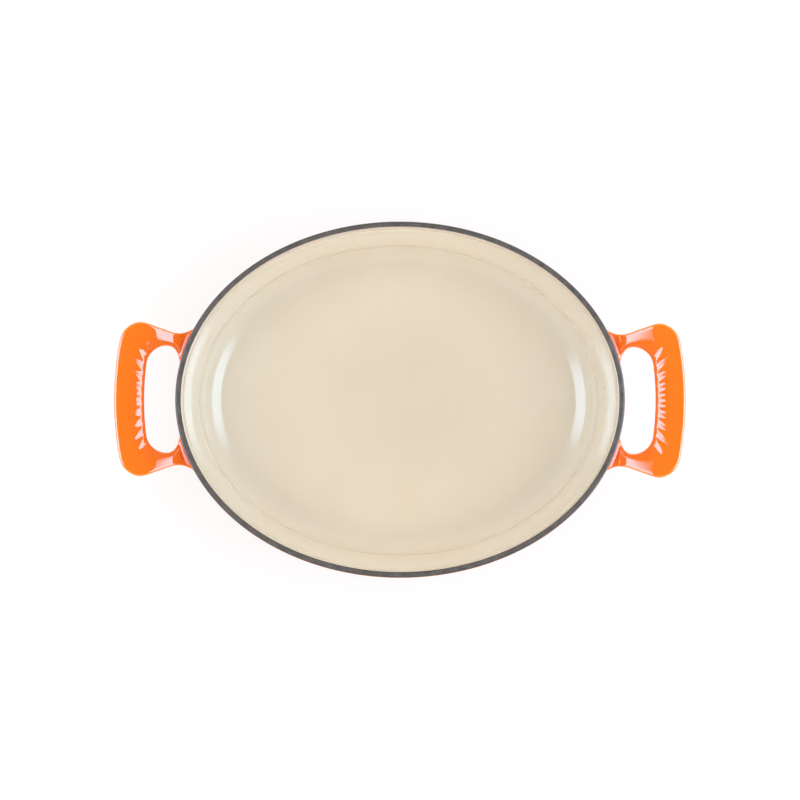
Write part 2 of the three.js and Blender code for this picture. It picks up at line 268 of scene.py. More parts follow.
class CasseroleStage(bpy.types.PropertyGroup):
    """Camera, lamps, room and table."""

    camera_above: length("Camera Height", "Camera above the rim", 1.743)
    lens: number("Lens", "Focal length in millimetres on a 36 mm sensor", 130.95)
    camera_left: size("Camera Left", "Camera left of the pot's axis", 11.4)
    camera_front: size("Camera Front", "Camera before the pot's axis", 11.9)
    camera_roll: angle("Camera Roll", "Turn of the camera about its view", 0.17)
    aim_left: size("Aim Left", "Aim left of the pot's axis", 0.06)
    aim_front: size("Aim Front", "Aim before the pot's axis", 0.24)
    lamp_distance: length("Lamp Distance", "Distance of the soft panels from the pot's axis", 0.9)
    lamp_step: size("Lamp Step", "Distance between the two panels on a side", 20)
    right_low: length("Right Low", "Lower edge of the right panel", 0.38)
    right_high: length("Right High", "Upper edge of the right panel", 2.25)
    right_back: length("Right Back", "Right panel behind the axis", 0.62)
    right_front: length("Right Front", "Right panel before the axis", 0.8)
    left_low: length("Left Low", "Lower edge of the left panel", 0.5)
    left_high: length("Left High", "Upper edge of the left panel", 3.2)
    left_back: length("Left Back", "Left panel behind the axis", 0.6)
    left_front: length("Left Front", "Left panel before the axis", 0.6)
    soft_radiance: number("Soft Radiance", "Brightness of the panels' soft part", 8.5)
    soft_high: length("Soft High", "Upper edge of the panels' soft part", 0.57)
    panel_fade: share("Panel Fade", "Share of a panel's length over which each end fades", 0.35, 0.0)
    gloss_radiance: number("Gloss Radiance", "Brightness added to the panels' reflections", 5.6)
    panel_light: colour("Panel Light", "Colour of the panels' light", 0.55, 0.78, 1.0)
    fill_radiance: number("Fill Radiance", "Brightness of the fills", 3.6)
    fill_light: colour("Fill Light", "Colour of the fills' light", 0.95, 0.97, 1.0)
    fill_distance: length("Fill Distance", "Distance of the fills from the pot's axis", 0.75)
    fill_height: length("Fill Height", "Height of the fills", 1.7)
    fill_size: length("Fill Size", "Width of the fills", 0.8)
    room_side: number("Room Side", "Brightness of the room if its light went down to the horizon", 3.95)
    room_low: share("Room Low", "Upward part of the lowest way that light comes from", 0.15, 0.0)
    room_full: share("Room Full", "Upward part of the way from which the light is full", 0.4, 0.0)
    room_along: number("Room Along", "Share of the room's light that comes from all round", 0.45)
    room_across: number("Room Across", "Share of the room's light that comes across the pot", 1.1)
    room_light: colour("Room Light", "Colour of the room's light", 1.0, 0.96, 0.9)
    room_mirror: share("Room Mirror", "Share of the room's brightness left in reflections", 0.14, 0.0)
    floor_white: share("Floor White", "Share of the floor that is plain white", 0.71, 0.0)
    floor_glow: number("Floor Glow", "Brightness of the plain white", 1.02)
    floor: colour("Floor", "Table top", 0.9, 0.93, 0.94)


# The pot's profiles are lists of (offset from the rim's oval, height).


def outer_wall(sizes, height):
    """Offset of the finished outside at a height."""
    return -(sizes.height - height) * tan(sizes.outer_draft)


def inner_wall(sizes, height):
    """Offset of the finished inside at a height."""
    return -sizes.rim_wall - (sizes.height - height) * tan(sizes.inner_draft)


def evenly(start, end, steps):
    """Even steps from a start to an end, both included."""
    return [start + (end - start) * step / steps for step in range(steps + 1)]


def round_edge(offset, height, radius, start, end, steps=EDGE_STEPS):
    """Profile of a round edge about a centre, between two directions."""
    turns = evenly(start, end, steps)
    return [(offset + radius * cos(turn), height + radius * sin(turn)) for turn in turns]


def round_corner(sizes, wall, draft, ground, radius):
    """Profile of a round corner from level ground up to a leaning wall."""
    offset = wall(sizes, ground + radius * (1 - sin(draft))) - radius * cos(draft)
    return round_edge(offset, ground + radius, radius, -pi / 2, -draft, CORNER_STEPS)


def straight(start, end, steps):
    """Profile of a straight run, without its start."""
    offsets, heights = (evenly(low, high, steps) for low, high in zip(start, end))
    return list(zip(offsets, heights))[1:]


def outer_roll(sizes, start, end):
    """Profile of the rim's round outer edge between two turns from level."""
    level = sizes.height - sizes.rim_round
    return round_edge(outer_wall(sizes, level) - sizes.rim_round, level, sizes.rim_round, start, end)


def inner_roll(sizes):
    """Profile of the rim's round inner edge, from the top into the pot."""
    level = sizes.height - sizes.rim_round
    return round_edge(inner_wall(sizes, level) + sizes.rim_round, level, sizes.rim_round, pi / 2, pi)


def lap_turn(sizes):
    """Turn of the rim's outer edge at which the outer coat ends."""
    return acos(1 - sizes.coat_lap / sizes.rim_round)


def heel(sizes):
    return round_corner(sizes, outer_wall, sizes.outer_draft, 0.0, sizes.heel_radius)


def cove(sizes):
    return round_corner(sizes, inner_wall, sizes.inner_draft, sizes.floor_top, sizes.cove_radius)


def semi_axes(sizes, offset):
    return sizes.semi_length + offset, sizes.semi_width + offset


def sweep_oval(name, sizes, profile, points):
    """Draws an oval at the profile's start, and extrudes it from point to point in edit mode."""
    bpy.ops.object.select_all(action="DESELECT")
    bpy.ops.mesh.primitive_circle_add(vertices=points, radius=1.0, location=(0, 0, 0))
    piece = bpy.context.object
    piece.name = name
    piece.data.name = name
    bpy.ops.object.mode_set(mode="EDIT")
    bpy.ops.mesh.select_mode(type="EDGE")
    bpy.ops.mesh.select_all(action="SELECT")
    offset, height = profile[0]
    along, across = semi_axes(sizes, offset)
    bpy.ops.transform.resize(value=(along, across, 1.0), center_override=(0, 0, 0))
    bpy.ops.transform.translate(value=(0, 0, height))
    for next_offset, next_height in profile[1:]:
        rise = (0, 0, next_height - height)
        bpy.ops.mesh.extrude_edges_move(TRANSFORM_OT_translate={"value": rise})
        next_along, next_across = semi_axes(sizes, next_offset)
        growth = (next_along / along, next_across / across, 1.0)
        bpy.ops.transform.resize(value=growth, center_override=(0, 0, 0))
        height, along, across = next_height, next_along, next_across
    return piece


def point_faces(piece, way):
    """Merges doubles, makes the faces agree, most of them along the given way, and ends edit mode."""
    bpy.ops.mesh.select_all(action="SELECT")
    bpy.ops.mesh.remove_doubles(threshold=MERGE_DISTANCE)
    bpy.ops.mesh.normals_make_consistent(inside=False)
    mesh = bmesh.from_edit_mesh(piece.data)
    mesh.normal_update()
    agreement = 0.0
    for face in mesh.faces:
        agreement += face.calc_area() * face.normal.dot(way(face.calc_center_median()))
    if agreement < 0:
        bpy.ops.mesh.flip_normals()
    bpy.ops.object.mode_set(mode="OBJECT")


def apply_modifier(piece, name, kind, **settings):
    modifier = piece.modifiers.new(name, kind)
    for setting, value in settings.items():
        setattr(modifier, setting, value)
    bpy.ops.object.modifier_apply(modifier=name)


def thicken(piece, thickness):
    """Gives a skin its thickness behind its face."""
    apply_modifier(
        piece, "coat thickness", "SOLIDIFY", thickness=thickness, offset=-1.0, use_quality_normals=True
    )


def finish_piece(piece, node, material):
    """Shades a piece, gives it its material and puts it in the place of its node."""
    bpy.ops.object.shade_smooth_by_angle(angle=SMOOTH_ANGLE)
    piece.data.materials.clear()
    piece.data.materials.append(material)
    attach(piece, BODY)
    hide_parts(node)


def up(_place):
    return Vector((0, 0, 1))


def down(_place):
    return Vector((0, 0, -1))


def outward(place):
    return Vector((place.x, place.y, 0))


# The handle's plan, seen from above, for the half handle at +X on the +Y side.


class Path:
    """A line through points that is read by its share of length."""

    def __init__(self, points):
        self.points = points
        self.lengths = [0.0]
        for start, end in zip(points, points[1:]):
            self.lengths.append(self.lengths[-1] + (end - start).length)

    def at(self, part):
        goal = part * self.lengths[-1]
        index = min(int(np.searchsorted(self.lengths, goal)), len(self.points) - 1)
        if index == 0:
            return self.points[0].copy()
        run = self.lengths[index] - self.lengths[index - 1]
        return self.points[index - 1].lerp(self.points[index], (goal - self.lengths[index - 1]) / run)


def wall_angle(sizes, across):
    return asin(across / sizes.semi_width)


def wall_place(sizes, turn, height):
    """A point of the finished outside at a parametric angle and a height."""
    along, across = semi_axes(sizes, outer_wall(sizes, height))
    return Vector((along * cos(turn), across * sin(turn), height))


def wall_tangent(sizes, turn):
    return Vector((-sizes.semi_length * sin(turn), sizes.semi_width * cos(turn)))


def cross(first, second):
    return first.x * second.y - first.y * second.x


def bend(start, start_way, end, end_way):
    """Points of a curve that leaves one line and lands on another without a kink."""
    reach = cross(end - start, end_way) / cross(start_way, end_way)
    corner = start + start_way * reach
    parts = evenly(0.0, 1.0, PATH_POINTS)
    return [start.lerp(corner, part).lerp(corner.lerp(end, part), part) for part in parts]


def arc(centre, radius, start, end):
    turns = evenly(start, end, PATH_POINTS)
    return [centre + Vector((cos(turn), sin(turn))) * radius for turn in turns]


def grip_edge(edge, half_span, corner, bow):
    """A corner that starts level and runs smoothly into the bow of the grip."""
    across = half_span - corner
    tilt = asin(across / (bow - corner))
    bow_centre = Vector((edge - bow, 0))
    corner_centre = bow_centre + Vector((cos(tilt), sin(tilt))) * (bow - corner)
    return arc(corner_centre, corner, pi / 2, tilt) + arc(bow_centre, bow, tilt, 0)[1:]


class HandlePlan:
    """The two edges of half a handle, each with a flare at the wall and a loop out to the grip."""

    def __init__(self, sizes):
        self.sizes = sizes
        self.grip_level = sizes.height - sizes.handle_drop - sizes.handle_crown
        self.root_level = self.grip_level - sizes.top_rise
        self.gap_root = wall_angle(sizes, sizes.gap_root_span / 2)
        self.outer_root = wall_angle(sizes, sizes.neck_span / 2 + sizes.root_flare)
        level = Vector((1, 0))
        neck = Vector((sizes.semi_length + sizes.neck_reach, sizes.neck_span / 2))
        neck_way = Vector((cos(sizes.neck_angle), sin(sizes.neck_angle)))
        outer_grip = grip_edge(
            sizes.handle_outside, sizes.handle_span / 2, sizes.handle_corner, sizes.grip_bow
        )
        gap_grip = grip_edge(
            sizes.handle_outside - sizes.grip_width,
            sizes.gap_span / 2,
            sizes.gap_corner,
            sizes.grip_bow - sizes.grip_width,
        )
        gap_tangent = wall_tangent(sizes, self.gap_root)
        outer_tangent = wall_tangent(sizes, self.outer_root)
        self.gap_flare = bend(self.root_plan(self.gap_root), gap_tangent, gap_grip[0], level)
        self.outer_flare = bend(self.root_plan(self.outer_root), outer_tangent, neck, neck_way)
        self.gap_loop = Path(gap_grip)
        self.outer_loop = Path(bend(neck, neck_way, outer_grip[0], level) + outer_grip[1:])

    def root_plan(self, turn):
        return wall_place(self.sizes, turn, self.root_level).xy

    def on_wall(self, side, height):
        """Plan of the wall between the two roots. Side is -1 at the gap and 1 outside."""
        turn = self.gap_root + (self.outer_root - self.gap_root) * (side + 1) / 2
        return wall_place(self.sizes, turn, height).xy

    def wall_bow(self, side, height):
        """How far the wall bows out from the straight line between the two roots."""
        start = self.root_plan(self.gap_root)
        return self.on_wall(side, height) - start.lerp(self.root_plan(self.outer_root), (side + 1) / 2)

    def fillet(self, spot):
        """How much a section grows near the wall."""
        sizes = self.sizes
        along, across = semi_axes(sizes, outer_wall(sizes, self.root_level))
        scaled = Vector((spot.x / along, spot.y / across))
        slope = Vector((scaled.x / along, scaled.y / across)).length / scaled.length
        distance = max(scaled.length - 1, 0.0) / slope
        return sizes.root_fillet * max(0.0, 1 - distance / sizes.fillet_reach) ** sizes.fillet_power

    def place(self, inside, outside, bow, side, lift, rib):
        """A point of a section. Lift is 1 at its top and -1 at its bottom."""
        sizes = self.sizes
        line = inside.lerp(outside, (side + 1) / 2)
        spot = line + self.wall_bow(side, self.root_level) * bow
        part = (spot.x - sizes.semi_length + sizes.climb_start) / (sizes.climb_start + sizes.climb_end)
        to_climb = 1 - min(max(part, 0.0), 1.0)
        lean = tan(sizes.grip_lean) * side * sizes.grip_width / 2
        level = self.grip_level + lean - (sizes.top_rise + lean) * to_climb**sizes.top_power
        under = self.grip_level + lean - (sizes.under_rise + lean) * to_climb**sizes.under_power
        reach = sizes.handle_crown if lift > 0 else level - under + sizes.handle_keel
        height = level + lift * (reach + self.fillet(spot)) - rib
        plan = line + self.wall_bow(side, height) * bow
        return Vector((plan.x, plan.y, height))


def quadrant(sizes, outward_sign, upward_sign, fullness, flatness):
    """(side, lift) points of a section from its side to its top or bottom, closer at its corner."""
    reach = sizes.handle_crown if upward_sign > 0 else sizes.handle_keel

    def spot(turn):
        side = max(cos(turn), 0.0) ** (2 / fullness)
        return Vector((outward_sign * side, upward_sign * sin(turn) ** (2 / flatness)))

    turns = evenly(0.0, pi / 2, PATH_POINTS)
    scale = Vector((sizes.grip_width / 2, reach))
    lengths = Path([spot(turn) * scale for turn in turns]).lengths
    count = SECTION_POINTS // 4
    points = []
    for step in range(count + 1):
        even_turn = float(np.interp(step / count * lengths[-1], lengths, turns))
        points.append(spot(even_turn + (pi / 2 * step / count - even_turn) * CORNER_CROWDING))
    return points


def section(sizes, gap_fullness, gap_flatness):
    """(side, lift) round a section, from the outside over the top to the gap and back below."""
    outer_top = quadrant(sizes, 1, 1, sizes.outer_fullness, sizes.outer_fullness)
    gap_top = quadrant(sizes, -1, 1, gap_fullness, gap_flatness)
    gap_bottom = quadrant(sizes, -1, -1, sizes.keel_fullness, sizes.keel_fullness)
    outer_bottom = quadrant(sizes, 1, -1, sizes.outer_fullness, sizes.outer_fullness)
    return outer_top[:-1] + gap_top[:0:-1] + gap_bottom[:-1] + outer_bottom[:0:-1]


def smooth_step(value, low, high):
    part = min(max((value - low) / (high - low), 0.0), 1.0)
    return part * part * (3 - 2 * part)


def handle_rings(sizes):
    """Rings of places from the wall out to the middle of the grip."""
    plan = HandlePlan(sizes)
    arm_section = section(sizes, sizes.arm_fullness, sizes.arm_fullness)
    grip_section = section(sizes, sizes.grip_fullness, sizes.grip_flatness)
    rings = []

    def add_ring(inside, outside, bow, grip_part, rib):
        ring = []
        for arm_spot, grip_spot in zip(arm_section, grip_section):
            side, lift = arm_spot.lerp(grip_spot, grip_part)
            fade = 1 - smooth_step(abs(side - sizes.rib_middle), sizes.rib_full, sizes.rib_end)
            ring.append(plan.place(inside, outside, bow, side, lift, rib * fade if lift > 0 else 0.0))
        rings.append(ring)

    for step in range(ROOT_STEPS):
        index = round((step / ROOT_STEPS) ** ROOT_CROWDING * PATH_POINTS)
        add_ring(plan.gap_flare[index], plan.outer_flare[index], 1 - index / PATH_POINTS, 0.0, 0.0)
    rib_steps = STEPS_PER_RIB * sizes.rib_count // 2
    parts = evenly(0.0, ARM_SHARE, ARM_STEPS) + evenly(ARM_SHARE, 1.0, rib_steps)[1:]
    for step, part in enumerate(parts):
        phase = 2 * pi * (step - ARM_STEPS) / STEPS_PER_RIB
        rib = sizes.rib_depth * (1 - cos(phase)) / 2 if step > ARM_STEPS else 0.0
        grip_part = smooth_step(part, 0, ARM_SHARE)
        add_ring(plan.gap_loop.at(part), plan.outer_loop.at(part), 0.0, grip_part, rib)
    for place in rings[-1]:
        place.y = 0.0
    return rings


def block_heights(sizes):
    """Lowest and highest level of the block of wall faces behind an arm."""
    plan = HandlePlan(sizes)
    low = plan.grip_level - sizes.under_rise - sizes.handle_keel - sizes.root_fillet - BLOCK_MARGIN
    high = plan.root_level + sizes.handle_crown + sizes.root_fillet + BLOCK_MARGIN
    return low, high


def block_border(sizes):
    """Places round the block, in the order of a section's points."""
    low, high = block_heights(sizes)
    columns = range(BLOCK_FIRST_COLUMN, BLOCK_FIRST_COLUMN + BLOCK_COLUMNS + 1)
    heights = evenly(low, high, BLOCK_ROWS)
    middle = BLOCK_ROWS // 2
    spots = [(columns[-1], height) for height in heights[middle:]]
    spots += [(column, high) for column in columns[-2::-1]]
    spots += [(columns[0], height) for height in heights[-2::-1]]
    spots += [(column, low) for column in columns[1:]]
    spots += [(columns[-1], height) for height in heights[1:middle]]
    return [wall_place(sizes, 2 * pi * column / WALL_POINTS, height) for column, height in spots]


def wall_profile(sizes):
    """Profile of the outside, with rows to suit the block behind an arm."""
    low, high = block_heights(sizes)
    top = sizes.height - sizes.rim_round
    profile = heel(sizes)
    for height, steps in ((low, LOWER_WALL_ROWS), (high, BLOCK_ROWS), (top, UPPER_WALL_ROWS)):
        profile += straight(profile[-1], (outer_wall(sizes, height), height), steps)
    return profile + outer_roll(sizes, 0, lap_turn(sizes))[1:]


def keep_quarter(piece):
    """Keeps the quarter of a swept wall at +X and +Y."""
    for normal in ((1, 0, 0), (0, 1, 0)):
        bpy.ops.mesh.select_all(action="SELECT")
        bpy.ops.mesh.bisect(plane_co=(0, 0, 0), plane_no=normal, clear_inner=True, threshold=MERGE_DISTANCE)


def is_in_block(sizes, place):
    low, high = block_heights(sizes)
    along, across = semi_axes(sizes, outer_wall(sizes, place.z))
    column = atan2(place.y / across, place.x / along) * WALL_POINTS / (2 * pi)
    is_beside = BLOCK_FIRST_COLUMN < column < BLOCK_FIRST_COLUMN + BLOCK_COLUMNS
    return is_beside and low < place.z < high


def open_block(piece, sizes):
    """Deletes the wall faces behind an arm."""
    bpy.ops.mesh.select_mode(type="FACE")
    bpy.ops.mesh.select_all(action="DESELECT")
    mesh = bmesh.from_edit_mesh(piece.data)
    for face in mesh.faces:
        face.select = is_in_block(sizes, face.calc_center_median())
    mesh.select_flush_mode()
    bmesh.update_edit_mesh(piece.data)
    bpy.ops.mesh.delete(type="FACE")
    bpy.ops.mesh.select_mode(type="EDGE")


def nearest(places):
    tree = KDTree(len(places))
    for index, place in enumerate(places):
        tree.insert(place, index)
    tree.balance()
    return tree


def select_border(piece, places):
    """Selects the open edges whose ends are at these places."""
    tree = nearest(places)
    mesh = bmesh.from_edit_mesh(piece.data)
    for edge in mesh.edges:
        distances = [tree.find(vertex.co)[2] for vertex in edge.verts]
        edge.select = edge.is_boundary and max(distances) < BORDER_DISTANCE
    mesh.select_flush_mode()
    bmesh.update_edit_mesh(piece.data)


def extend_loop(piece, before, after):
    """Extrudes the selected loop and moves each new vertex from its place before to its place after."""
    tree = nearest(before)
    bpy.ops.mesh.extrude_region()
    mesh = bmesh.from_edit_mesh(piece.data)
    for vertex in mesh.verts:
        if vertex.select:
            vertex.co = after[tree.find(vertex.co)[1]]
    bmesh.update_edit_mesh(piece.data)


def mark_bends(piece):
    """Stores how sharply the surface bends: above 0 on edges and below 0 in hollows, per metre."""
    mesh = piece.data
    count = len(mesh.vertices)
    places = np.empty(3 * count, np.float32)
    normals = np.empty(3 * count, np.float32)
    ends = np.empty(2 * len(mesh.edges), np.int32)
    mesh.vertices.foreach_get("co", places)
    mesh.vertex_normals.foreach_get("vector", normals)
    mesh.edges.foreach_get("vertices", ends)
    places, normals, ends = places.reshape(-1, 3), normals.reshape(-1, 3), ends.reshape(-1, 2)
    first, second = ends[:, 0], ends[:, 1]
    step = places[first] - places[second]
    square = np.maximum((step**2).sum(1), LEAST_SQUARE)
    neighbours = np.maximum(np.bincount(ends.ravel(), minlength=count), 1)
    bends = np.bincount(first, (normals[first] * step).sum(1) / square, count)
    bends -= np.bincount(second, (normals[second] * step).sum(1) / square, count)
    bends /= neighbours
    for _ in range(BEND_ROUNDS):
        around = np.bincount(first, bends[second], count) + np.bincount(second, bends[first], count)
        bends = (bends + around / neighbours) / 2
    mesh.attributes.new("bend", "FLOAT", "POINT").data.foreach_set("value", bends.astype(np.float32))


# Materials.


class Nodes:
    """Adds and links the nodes of a material, a lamp or a world."""

    def __init__(self, owner):
        owner.use_nodes = True
        self.owner = owner
        self.tree = owner.node_tree

    def fill(self, node, entries):
        """Feeds a node's entries, by name or number, with outputs of nodes or plain values."""
        for entry, value in entries.items():
            if isinstance(value, bpy.types.NodeSocket):
                self.tree.links.new(value, node.inputs[entry])
            else:
                node.inputs[entry].default_value = value

    def add(self, kind, entries, **settings):
        node = self.tree.nodes.new("ShaderNode" + kind)
        for setting, value in settings.items():
            setattr(node, setting, value)
        self.fill(node, entries)
        return node

    def axis(self, name, place):
        return self.add("SeparateXYZ", {"Vector": place}).outputs[name]

    def math(self, operation, *values):
        return self.add("Math", dict(enumerate(values)), operation=operation).outputs["Value"]

    def spread(self, value, low, high, start=0.0, end=1.0, kind="SMOOTHSTEP"):
        """Spreads a value's range from low to high over start to end, smoothly by default."""
        entries = {"Value": value, "From Min": low, "From Max": high, "To Min": start, "To Max": end}
        return self.add("MapRange", entries, interpolation_type=kind).outputs["Result"]


class SurfaceNodes(Nodes):
    """Adds and links the nodes of a material that lies on the pot."""

    def __init__(self, name):
        super().__init__(bpy.data.materials.new(name))
        self.shader = self.tree.nodes["Principled BSDF"]
        self.places = self.add("TexCoord", {}).outputs["Object"]

    def noise(self, scale, detail=3.0, roughness=0.5):
        entries = {"Vector": self.places, "Scale": scale, "Detail": detail, "Roughness": roughness}
        return self.add("TexNoise", entries).outputs["Fac"]

    def height(self):
        return self.axis("Z", self.places)

    def sum(self, first, second, factor):
        """The first value and the second times a factor."""
        return self.math("MULTIPLY_ADD", second, factor, first)

    def mix(self, factor, first, second):
        """Mixes two colours, each a colour or an output."""
        entries = {"Factor": factor, MIX_FIRST: first, MIX_SECOND: second}
        return self.add("Mix", entries, data_type="RGBA").outputs[MIX_RESULT]

    def bump(self, grain, strength, depth, under=None):
        entries = {"Height": grain, "Strength": strength, "Distance": depth}
        if under is not None:
            entries["Normal"] = under
        return self.add("Bump", entries).outputs["Normal"]

    def roughness(self, grain, smoothest, roughest):
        return self.spread(grain, NOISE_LOW, NOISE_HIGH, smoothest, roughest)

    def waves(self, peel_scale, peel, wave_scale, wave):
        """Fine peel under broad waves."""
        fine = self.bump(self.noise(peel_scale, WAVE_DETAIL), peel, PEEL_DEPTH)
        return self.bump(self.noise(wave_scale, WAVE_DETAIL), wave, WAVE_DEPTH, fine)

    def rim_border(self, level, tilt, raggedness):
        """1 above a ragged level, which drops toward +Y by the tilt, and 0 below it."""
        place = self.sum(self.height(), self.axis("Y", self.places), tilt)
        place = self.sum(place, self.noise(BORDER_GRAIN), raggedness)
        middle = level + raggedness / 2
        blur = raggedness * BORDER_BLUR
        return self.spread(place, middle - blur, middle + blur)

    def glaze(self, refraction, glass_refraction):
        """Lays clear glass over a colour coat."""
        glass = {"Coat Weight": 1.0, "Coat Roughness": GLASS_ROUGHNESS, "Coat IOR": glass_refraction}
        self.fill(self.shader, {"IOR": refraction, **glass})

    def finish(self, base, roughness, normal, metallic=0.0):
        entries = {"Base Color": base, "Roughness": roughness, "Normal": normal, "Metallic": metallic}
        self.fill(self.shader, entries)
        return self.owner


def orange_glaze(colours, sizes):
    """Gloss enamel that deepens toward the base, pools in hollows, and turns lighter over edges, partly
    from thinning glaze and partly as a painted highlight.
    """
    nodes = SurfaceNodes("orange_glaze")
    level = nodes.sum(nodes.height(), nodes.noise(scale=22.0, detail=4.0), FIRED_CLOUDS)
    fired = nodes.spread(level, 0.0, FIRED_SHARE * sizes.height)
    glaze = nodes.mix(fired, colours.flame, colours.orange)
    bends = nodes.add("Attribute", {}, attribute_name="bend").outputs["Fac"]
    # Sharp edges turn lighter and yellower: partly thinning glaze, partly a painted highlight.
    glaze = nodes.mix(nodes.spread(bends, THIN_GLAZE_AND_HIGHLIGHT_START, THIN_GLAZE_AND_HIGHLIGHT_FULL), glaze, colours.glaze_tone_and_painted_light)
    glaze = nodes.mix(nodes.spread(bends, POOL_START, POOL_FULL), glaze, colours.pooled)
    border = nodes.rim_border(sizes.height - COAT_BORDER, COAT_TILT, COAT_RAGGED)
    glaze = nodes.mix(border, glaze, colours.rim)
    roughness = nodes.roughness(nodes.noise(scale=160.0), smoothest=0.03, roughest=0.06)
    roughness = nodes.sum(roughness, border, BORDER_ROUGHNESS)
    waves = nodes.waves(peel_scale=420.0, peel=0.04, wave_scale=60.0, wave=0.05)
    nodes.glaze(refraction=1.75, glass_refraction=1.5)
    return nodes.finish(glaze, roughness, waves)


def cream_glaze(colours, sizes):
    """Gloss lining with faint clouds, painted shade toward the rim's top, and a ragged border under the
    matt rim.
    """
    nodes = SurfaceNodes("cream_glaze")
    clouds = nodes.spread(nodes.noise(scale=30.0, detail=4.0), low=0.35, high=0.65)
    glaze = nodes.mix(clouds, colours.cream, colours.sand)
    # Painted shade: the lining is darkened over its top few millimetres under the rim.
    glaze_tone_and_painted_light = nodes.spread(nodes.height(), sizes.height - LIP_SHADE_START, sizes.height - LIP_SHADE_FULL)
    glaze = nodes.mix(glaze_tone_and_painted_light, glaze, colours.painted_lip_shade)
    border = nodes.rim_border(sizes.height - LINING_BORDER, LINING_TILT, LINING_RAGGED)
    glaze = nodes.mix(border, glaze, colours.rim)
    roughness = nodes.roughness(nodes.noise(scale=140.0), smoothest=0.045, roughest=0.08)
    roughness = nodes.sum(roughness, border, BORDER_ROUGHNESS)
    waves = nodes.waves(peel_scale=400.0, peel=0.02, wave_scale=45.0, wave=0.02)
    nodes.glaze(refraction=1.4, glass_refraction=1.4)
    return nodes.finish(glaze, roughness, waves)


def matt_rim(colours):
    """Matt ground coat with a fine grain."""
    nodes = SurfaceNodes("matt_rim")
    grain = nodes.noise(scale=1300.0, detail=4.0, roughness=0.7)
    patchy = nodes.sum(grain, nodes.noise(scale=180.0), PATCH_SHARE)
    coat = nodes.mix(nodes.spread(patchy, low=0.62, high=0.95), colours.rim, colours.rim_worn)
    roughness = nodes.roughness(grain, smoothest=0.42, roughest=0.62)
    return nodes.finish(coat, roughness, nodes.bump(grain, strength=0.35, depth=0.12 * MM))


def fired_base(colours):
    """Satin coat under the base, clouded by firing."""
    nodes = SurfaceNodes("fired_base")
    clouds = nodes.spread(nodes.noise(scale=28.0, detail=6.0, roughness=0.6), low=0.35, high=0.68)
    coat = nodes.mix(clouds, colours.base, colours.base_fired)
    roughness = nodes.roughness(nodes.noise(scale=90.0), smoothest=0.22, roughest=0.38)
    peel = nodes.bump(nodes.noise(scale=300.0), strength=0.12, depth=0.2 * MM)
    return nodes.finish(coat, roughness, peel)


def sand_cast_iron(colours):
    """Grey iron with the grain of a sand mould."""
    nodes = SurfaceNodes("sand_cast_iron")
    grain = nodes.noise(scale=700.0, detail=5.0, roughness=0.7)
    metal = nodes.mix(nodes.spread(grain, low=0.35, high=0.65), colours.iron, colours.iron_dark)
    roughness = nodes.roughness(grain, smoothest=0.5, roughest=0.75)
    return nodes.finish(metal, roughness, nodes.bump(grain, strength=0.5, depth=0.3 * MM), metallic=0.8)


# Operators.


class CASSEROLE_OT_lining(bpy.types.Operator):
    """Model the cream lining inside the pot"""

    bl_idname = "casserole.lining"
    bl_label = "Lining"

    def execute(self, context):
        sizes = context.scene.casserole_sizes
        profile = inner_roll(sizes)
        bottom = cove(sizes)[::-1]
        profile += straight(profile[-1], bottom[0], LINING_ROWS)
        profile += bottom[1:]
        inside = (bottom[-1][0] - sizes.cove_radius, sizes.floor_top)
        profile += straight(bottom[-1], inside, FLOOR_ROWS)
        piece = sweep_oval("enamel_lining", sizes, profile, OVAL_POINTS)
        bpy.ops.mesh.edge_face_add()
        point_faces(piece, up)
        thicken(piece, sizes.enamel)
        material = cream_glaze(context.scene.casserole_colours, sizes)
        finish_piece(piece, "interior_enamel", material)
        return {"FINISHED"}


class CASSEROLE_OT_outer_coat(bpy.types.Operator):
    """Model the orange coat round the wall and both ribbed loop handles"""

    bl_idname = "casserole.outer_coat"
    bl_label = "Outer Coat"

    def execute(self, context):
        sizes = context.scene.casserole_sizes
        piece = sweep_oval("enamel_coat", sizes, wall_profile(sizes), WALL_POINTS)
        keep_quarter(piece)
        open_block(piece, sizes)
        border = block_border(sizes)
        select_border(piece, border)
        for ring in handle_rings(sizes):
            extend_loop(piece, border, ring)
            border = ring
        bpy.ops.object.mode_set(mode="OBJECT")
        apply_modifier(
            piece, "other quarters", "MIRROR", use_axis=(True, True, False), merge_threshold=MERGE_DISTANCE
        )
        bpy.ops.object.mode_set(mode="EDIT")
        point_faces(piece, outward)
        apply_modifier(piece, "flowing glaze", "SUBSURF", levels=GLAZE_LEVELS, render_levels=GLAZE_LEVELS)
        thicken(piece, sizes.enamel)
        mark_bends(piece)
        material = orange_glaze(context.scene.casserole_colours, sizes)
        finish_piece(piece, "exterior_enamel", material)
        return {"FINISHED"}


class CASSEROLE_OT_rim(bpy.types.Operator):
    """Model the matt band on the rim"""

    bl_idname = "casserole.rim"
    bl_label = "Rim"

    def execute(self, context):
        sizes = context.scene.casserole_sizes
        profile = outer_roll(sizes, lap_turn(sizes), pi / 2)
        profile += straight(profile[-1], inner_roll(sizes)[0], RIM_ROWS)
        piece = sweep_oval("rim_band", sizes, profile, OVAL_POINTS)
        point_faces(piece, up)
        thicken(piece, sizes.enamel)
        finish_piece(piece, "rim_enamel", matt_rim(context.scene.casserole_colours))
        return {"FINISHED"}


